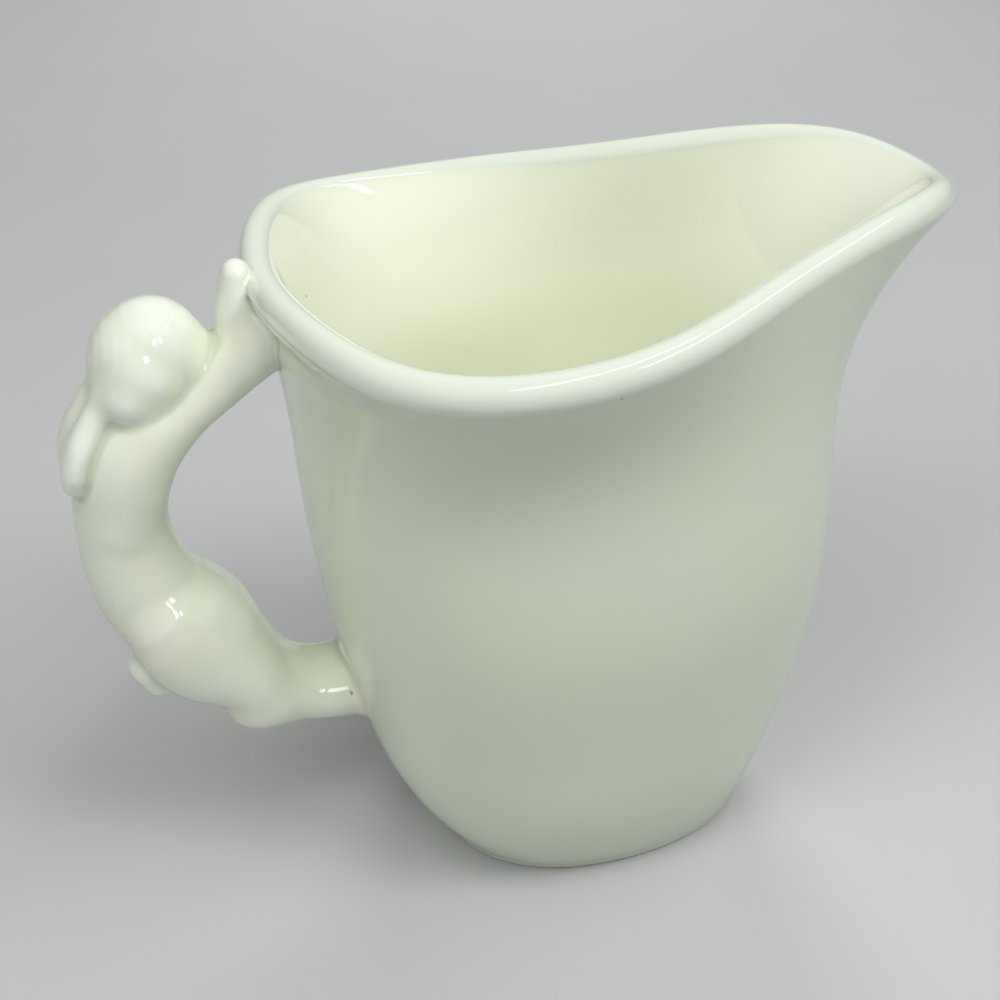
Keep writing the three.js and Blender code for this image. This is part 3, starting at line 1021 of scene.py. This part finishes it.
@dataclass
class DistanceBlock:
    """A block of cells that holds distances to a skin, negative inside it.

    Attributes:
        lower: Lowest corner of the block, in millimetres.
        upper: Highest corner of the block, in millimetres.
        cell: Edge of a cell, in millimetres.
        band: Distance at which the values are cut off, in millimetres.
    """

    lower: np.ndarray
    upper: np.ndarray
    cell: float
    band: float

    def __post_init__(self) -> None:
        """Counts the cells."""
        self.shape = tuple(np.ceil((self.upper - self.lower) / self.cell).astype(int) + 1)

    def distance(self, skin: Skin) -> np.ndarray:
        """Distance of every cell to a closed skin of triangles."""
        points = ((skin.points - self.lower) / self.cell).astype(np.float32)
        corners = np.asarray(skin.faces, np.uint32)
        scale = openvdb.createLinearTransform(voxelSize=1.0)
        grid = openvdb.FloatGrid.createLevelSetFromPolygons(
            points, triangles=corners, transform=scale, halfWidth=self.band / self.cell
        )
        values = np.zeros(self.shape, np.float32)
        grid.copyToArray(values, ijk=(0, 0, 0))
        return values * self.cell

    def heights(self) -> np.ndarray:
        """Z of each layer of cells, shaped to spread over the block."""
        return (self.lower[2] + self.cell * np.arange(self.shape[2]))[None, None, :]

    def surface(self, values: np.ndarray, rounds: int) -> Skin:
        """Skin where the distance is 0, evened out.

        Args:
            values: Distance at every cell.
            rounds: Times that the skin is relaxed and let out again.

        Returns:
            The closed skin.
        """
        grid = openvdb.FloatGrid(float(self.band))
        grid.copyFromArray(np.ascontiguousarray(values, np.float32), ijk=(0, 0, 0))
        points, quads = grid.convertToQuads(isovalue=0.0)
        quads = quads.astype(np.int64)
        points = points.astype(float)
        triangles = points[quads[:, :3]]
        volume = np.einsum(
            "ij,ij->i", triangles[:, 0], np.cross(triangles[:, 1], triangles[:, 2])
        ).sum()
        if volume < 0:
            quads = quads[:, ::-1]
        points = relaxed(points, quads, rounds)
        return Skin(points * self.cell + self.lower, quads.tolist())


def relaxed(points: np.ndarray, quads: np.ndarray, rounds: int) -> np.ndarray:
    """Evens out a skin without shrinking it.

    Args:
        points: Corners of the skin.
        quads: Its faces.
        rounds: Pairs of an inward and an outward step.

    Returns:
        The moved corners.
    """
    start = quads.ravel()
    end = np.roll(quads, -1, axis=1).ravel()
    count = len(points)
    members = np.bincount(start, minlength=count) + np.bincount(end, minlength=count)
    for _ in range(rounds):
        for step in (0.5, -0.52):
            mean = np.empty_like(points)
            for axis in range(3):
                total = np.bincount(start, points[end, axis], count)
                total += np.bincount(end, points[start, axis], count)
                mean[:, axis] = total / members
            points = points + step * (mean - points)
    return points


def melted(first: np.ndarray, second: np.ndarray, width: np.ndarray | float) -> np.ndarray:
    """Union of two distance blocks with a soft fillet.

    Args:
        first: Distance to the first shape.
        second: Distance to the second shape.
        width: Distance over which the two melt together.

    Returns:
        Distance to both in one.
    """
    near = np.maximum(width - np.abs(first - second), 0.0) / width
    return np.minimum(first, second) - near * near * width / 4


@dataclass
class RabbitHandle:
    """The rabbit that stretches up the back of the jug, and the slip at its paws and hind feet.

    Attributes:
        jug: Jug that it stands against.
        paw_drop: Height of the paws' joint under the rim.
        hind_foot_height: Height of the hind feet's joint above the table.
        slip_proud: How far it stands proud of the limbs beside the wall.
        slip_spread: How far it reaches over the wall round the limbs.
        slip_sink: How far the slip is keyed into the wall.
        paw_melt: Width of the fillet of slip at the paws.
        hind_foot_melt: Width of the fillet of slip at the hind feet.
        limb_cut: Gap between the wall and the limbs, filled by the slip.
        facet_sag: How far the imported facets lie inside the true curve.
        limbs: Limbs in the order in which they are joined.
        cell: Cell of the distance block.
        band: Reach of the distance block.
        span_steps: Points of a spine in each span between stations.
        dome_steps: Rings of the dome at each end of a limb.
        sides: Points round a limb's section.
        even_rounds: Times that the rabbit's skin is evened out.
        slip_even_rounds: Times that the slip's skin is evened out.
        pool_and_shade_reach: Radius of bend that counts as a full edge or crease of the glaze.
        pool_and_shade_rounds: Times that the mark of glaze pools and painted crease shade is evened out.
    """

    jug: JugBody
    paw_drop: float = 6.2
    hind_foot_height: float = 29.2
    slip_proud: float = 0.06
    slip_spread: float = 2.4
    slip_sink: float = 0.5
    paw_melt: float = 0.8
    hind_foot_melt: float = 2.2
    limb_cut: float = 0.35
    facet_sag: float = 0.06
    limbs: tuple[Limb, ...] = (
        TORSO,
        THIGH,
        BELLY,
        HIND_FOOT,
        TAIL,
        FORELEG,
        PAW,
        HEAD,
        MUZZLE,
        CHEEK,
        EAR,
    )
    cell: float = 0.3
    band: float = 6.0
    span_steps: int = 8
    dome_steps: int = 8
    sides: int = 40
    even_rounds: int = 8
    slip_even_rounds: int = 4
    pool_and_shade_reach: float = 3.0
    pool_and_shade_rounds: int = 10
    _sweep: LimbSweep = field(default_factory=LimbSweep)

    def __post_init__(self) -> None:
        """Finds where the handle meets the wall."""
        back = np.asarray(math.pi)
        rim = float(self.jug.rim_height_at(back))
        paw_height = self.jug.rim_height - self.paw_drop
        self._paw_joint = self.jug.wall_point(back, paw_height / rim)
        self._foot_joint = self.jug.wall_point(back, self.hind_foot_height / rim)

    def spine(self, limb: Limb, side: int) -> np.ndarray:
        """Spine of a limb on one side, with a dome at each end.

        Args:
            limb: The limb.
            side: Sign of the Y place it stands on.

        Returns:
            Rows of place, half thickness and half width.
        """
        rows = np.asarray(limb.rows, float)
        place = self._foot_joint + rows[:, :1] * (self._paw_joint - self._foot_joint)
        place[:, 0] -= rows[:, 1]
        place[:, 1] = side * limb.apart
        place[:, 2] += rows[:, 2]
        chords = np.sqrt(np.linalg.norm(np.diff(place, axis=0), axis=1))
        line = catmull_rom(place, chords, self.span_steps)
        girth = catmull_rom(rows[:, 3:], np.ones(len(rows) - 1), self.span_steps)
        first = self.dome(line[:2], girth[:2])
        last = self.dome(line[:-3:-1], girth[:-3:-1])
        return np.vstack([first, np.hstack([line, girth]), last[::-1]])

    def dome(self, line: np.ndarray, girth: np.ndarray) -> np.ndarray:
        """Round end of a limb that carries on the taper of its last span.

        Args:
            line: Last point of the spine and the one before it.
            girth: Half thickness and half width at the two.

        Returns:
            Rows of place, half thickness and half width, outermost first.
        """
        way = line[0] - line[1]
        span = np.linalg.norm(way)
        taper = (girth[0, 0] - girth[1, 0]) / span
        radius = girth[0, 0] * math.hypot(1.0, taper)
        turns = np.linspace(0.05, math.atan2(1.0, -taper), self.dome_steps, endpoint=False)
        reach = girth[0, 0] * taper + radius * np.cos(turns)
        size = radius * np.sin(turns) / girth[0, 0]
        return np.hstack([line[0] + np.outer(reach, way / span), np.outer(size, girth[0])])

    def build(self, finish: GlazeFinish, slip_finish: GlazeFinish) -> list[bpy.types.Object]:
        """Makes the rabbit and its two slip joints and puts them in place of their CAD nodes.

        Args:
            finish: Glaze of the rabbit.
            slip_finish: Glaze over the slip.

        Returns:
            The rabbit, the upper joint and the lower joint.
        """
        glaze = finish.material()
        skins = {
            limb: [self._sweep.swept(self.spine(limb, side), self.sides, glaze) for side in limb.sides()]
            for limb in self.limbs
        }
        corners = np.vstack([skin.points for pair in skins.values() for skin in pair])
        margin = self.hind_foot_melt + 4 * self.cell
        block = DistanceBlock(corners.min(0) - margin, corners.max(0) + margin, self.cell, self.band)
        whole = np.full(block.shape, self.band, np.float32)
        reach = whole
        for limb, pair in skins.items():
            sides = [block.distance(skin) for skin in pair]
            shape = sides[0] if len(sides) == 1 else melted(*sides, limb.pair_melt)
            whole = melted(whole, shape, limb.melt)
            reach = np.minimum(reach, np.minimum.reduce(sides))
        whole += self.facet_sag
        wall = block.distance(triangles_of(self.jug.outside()))
        rabbit_shape = np.maximum(whole, self.limb_cut - wall)
        rabbit = glazed_object("rabbit_handle", block.surface(rabbit_shape, self.even_rounds), glaze)
        middle = (self._paw_joint[2] + self._foot_joint[2]) / 2
        melt = np.where(block.heights() > middle, self.paw_melt, self.hind_foot_melt)
        flared = melted(whole, wall + self.slip_sink / 2, melt)
        feather = np.clip((wall - 0.6 * melt) / (0.6 * melt), 0.0, 1.0)
        proud = self.slip_proud * (1 - 4 * feather)
        layer = np.maximum(wall - 1.4 * melt, -self.slip_sink - wall)
        bed = np.maximum(np.maximum(flared - proud, reach - self.slip_spread), layer)
        slip_glaze = slip_finish.material()
        pieces = [rabbit]
        for name, part in (
            ("paw_slip", np.maximum(bed, middle - block.heights())),
            ("hind_foot_slip", np.maximum(bed, block.heights() - middle)),
        ):
            pieces.append(glazed_object(name, block.surface(part, self.slip_even_rounds), slip_glaze))
        nodes = ("bunny_handle", "paw_slip_joint", "hind_foot_slip_joint")
        slots = ("rabbit_glaze", "slip_glaze", "slip_glaze")
        for piece, node, slot in zip(pieces, nodes, slots):
            store_glaze_pool_and_shade(piece.data, self.pool_and_shade_reach * MILLIMETRE, self.pool_and_shade_rounds)
            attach(piece, BODY)
            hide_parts(node)
        return pieces


def triangles_of(skin: Skin) -> Skin:
    """A skin with its four-sided faces cut into triangles."""
    quads = np.asarray([face for face in skin.faces if len(face) == 4])
    threes = np.asarray([face for face in skin.faces if len(face) == 3])
    return Skin(skin.points, np.vstack([threes, quads[:, [0, 1, 2]], quads[:, [0, 2, 3]]]))


@dataclass(frozen=True)
class SoftBox:
    """One soft studio light.

    Attributes:
        name: What the light does.
        place: Where it stands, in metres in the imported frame.
        aim: Where it points.
        breadth: Its two sides, in metres.
        power: Its power in watts.
        mirrored: Whether the glaze mirrors it; a fill light only brightens.
        handle_only: Whether it is screened off from everything but the handle.
    """

    name: str
    place: Place
    aim: Place
    breadth: tuple[float, float]
    power: float
    mirrored: bool = True
    handle_only: bool = False

    def build(self, handle: bpy.types.Collection) -> bpy.types.Object:
        """Hangs the light.

        Args:
            handle: The pieces that a screened light falls on.

        Returns:
            The light's object.
        """
        data = bpy.data.lights.new(self.name, "AREA")
        data.shape = "RECTANGLE"
        data.size, data.size_y = self.breadth
        data.energy = self.power
        lamp = bpy.data.objects.new(self.name, data)
        way = Vector(self.aim) - Vector(self.place)
        lamp.location = self.place
        lamp.rotation_euler = way.to_track_quat("-Z", "Y").to_euler()
        lamp.visible_glossy = self.mirrored
        if self.handle_only:
            lamp.light_linking.receiver_collection = handle
        bpy.context.scene.collection.objects.link(lamp)
        return lamp


@dataclass
class Studio:
    """Plain pale floor, soft light and the camera at the photo's angle.

    Attributes:
        eye: Place of the camera, in millimetres about the jug's axis.
        forward: Direction it looks in.
        right: Direction to the right of its picture.
        focal_share: Focal length in picture widths.
        floor_size: Side of the floor, in metres.
        ambient: Strength of the even light from all round.
        lights: The soft boxes.
    """

    eye: Place = (-65.898, -175.358, 170.384)
    forward: Place = (0.25772, 0.81151, -0.52443)
    right: Place = (0.95304, -0.30284, -0.00026)
    focal_share: float = 1.41009
    floor_size: float = 6.0
    ambient: float = 0.04
    lights: tuple[SoftBox, ...] = (
        SoftBox("front_light", (-0.21, -0.37, 0.95), (0.0, 0.0, 0.05), (0.8, 0.6), 3.5, False),
        SoftBox("right_light", (0.45, -0.45, 0.82), (0.0, 0.0, 0.05), (0.4, 0.4), 3.3, False),
        SoftBox("left_light", (-0.64, -0.37, 0.72), (0.0, 0.0, 0.05), (0.4, 0.4), 2.6, False),
        SoftBox("back_light", (0.25, 0.83, 0.55), (0.0, 0.0, 0.05), (0.4, 0.4), 3.8, False),
        SoftBox("near_strip", (0.25, -0.15, 0.95), (0.0, 0.0, 0.06), (0.8, 0.04), 1.2),
        SoftBox("far_strip", (0.60, -0.15, 0.85), (0.0, 0.0, 0.06), (0.8, 0.04), 1.2),
        SoftBox("left_window", (0.12, -0.82, 0.58), (-0.065, 0.0, 0.045), (0.13, 0.24), 0.8, True, True),
        SoftBox("right_window", (0.34, -0.77, 0.58), (-0.065, 0.0, 0.045), (0.13, 0.24), 0.8, True, True),
    )

    def build(self, finish: MattFinish, handle: list[bpy.types.Object]) -> None:
        """Sets the floor, the lights and the camera.

        Args:
            finish: Paint of the floor.
            handle: The pieces that the screened lights fall on.
        """
        self._floor(finish)
        lit_pieces = bpy.data.collections.new("handle_pieces")
        for piece in handle:
            lit_pieces.objects.link(piece)
        for light in self.lights:
            light.build(lit_pieces)
        world = bpy.data.worlds.new("studio_air")
        world.use_nodes = True
        background = world.node_tree.nodes["Background"]
        background.inputs["Color"].default_value = (1.0, 1.0, 1.0, 1.0)
        background.inputs["Strength"].default_value = self.ambient
        bpy.context.scene.world = world
        bpy.context.scene.view_settings.view_transform = "Standard"
        self._camera()

    def _floor(self, finish: MattFinish) -> None:
        """Lays the floor under the foot."""
        half = self.floor_size / 2
        corners = [(-half, -half, 0.0), (half, -half, 0.0), (half, half, 0.0), (-half, half, 0.0)]
        mesh = bpy.data.meshes.new("floor")
        mesh.from_pydata(corners, [], [(0, 1, 2, 3)])
        mesh.materials.append(finish.material())
        floor = bpy.data.objects.new("floor", mesh)
        bpy.context.scene.collection.objects.link(floor)

    def _camera(self) -> None:
        """Stands the camera."""
        data = bpy.data.cameras.new("photo_camera")
        data.sensor_width = 36.0
        data.lens = self.focal_share * data.sensor_width
        data.clip_start = 0.01
        data.clip_end = 20.0
        camera = bpy.data.objects.new("photo_camera", data)
        bpy.context.scene.collection.objects.link(camera)
        right, forward = Vector(self.right), Vector(self.forward)
        up = right.cross(forward)
        turned = Matrix((right, up, -forward)).transposed().to_4x4()
        eye = placed(np.asarray([self.eye]))[0]
        camera.matrix_world = Matrix.Translation(Vector(eye)) @ turned
        bpy.context.scene.camera = camera


# The darker crease colours below paint shade in creases as well as glaze pools; the lighter inside colour
# paints bounce light in the jug.
JUG_GLAZE = GlazeFinish(
    name="ivory_jug_glaze",
    ivory=(0.72, 0.80, 0.64),
    thin=(0.79, 0.85, 0.73),
    pooled_and_shaded=(0.62, 0.69, 0.53),
    cloud=(0.74, 0.80, 0.63),
    dry_height=0.3,
)
RABBIT_GLAZE = GlazeFinish(
    name="ivory_rabbit_glaze",
    ivory=(0.75, 0.81, 0.67),
    thin=(0.82, 0.86, 0.76),
    pooled_and_shaded=(0.62, 0.68, 0.52),
    cloud=(0.76, 0.80, 0.64),
)
SLIP_GLAZE = GlazeFinish(
    name="ivory_slip_glaze",
    ivory=(0.74, 0.80, 0.65),
    thin=(0.80, 0.85, 0.74),
    pooled_and_shaded=(0.58, 0.63, 0.49),
    cloud=(0.75, 0.79, 0.62),
    pinhole=(-36.5, -6.7, 30.9),
)
FLOOR_PAINT = MattFinish("pale_floor", (0.52, 0.53, 0.53), (0.55, 0.56, 0.56))


def main() -> None:
    """Builds the creamer and its studio."""
    logging.basicConfig(level=logging.INFO, format="%(name)s: %(message)s")
    jug = JugBody()
    body = jug.build(JUG_GLAZE)
    handle = RabbitHandle(jug).build(RABBIT_GLAZE, SLIP_GLAZE)
    for piece in (body, *handle):
        LOG.info("%s: %d faces", piece.name, len(piece.data.polygons))
    Studio().build(FLOOR_PAINT, handle)


if __name__ == "__main__":
    main()
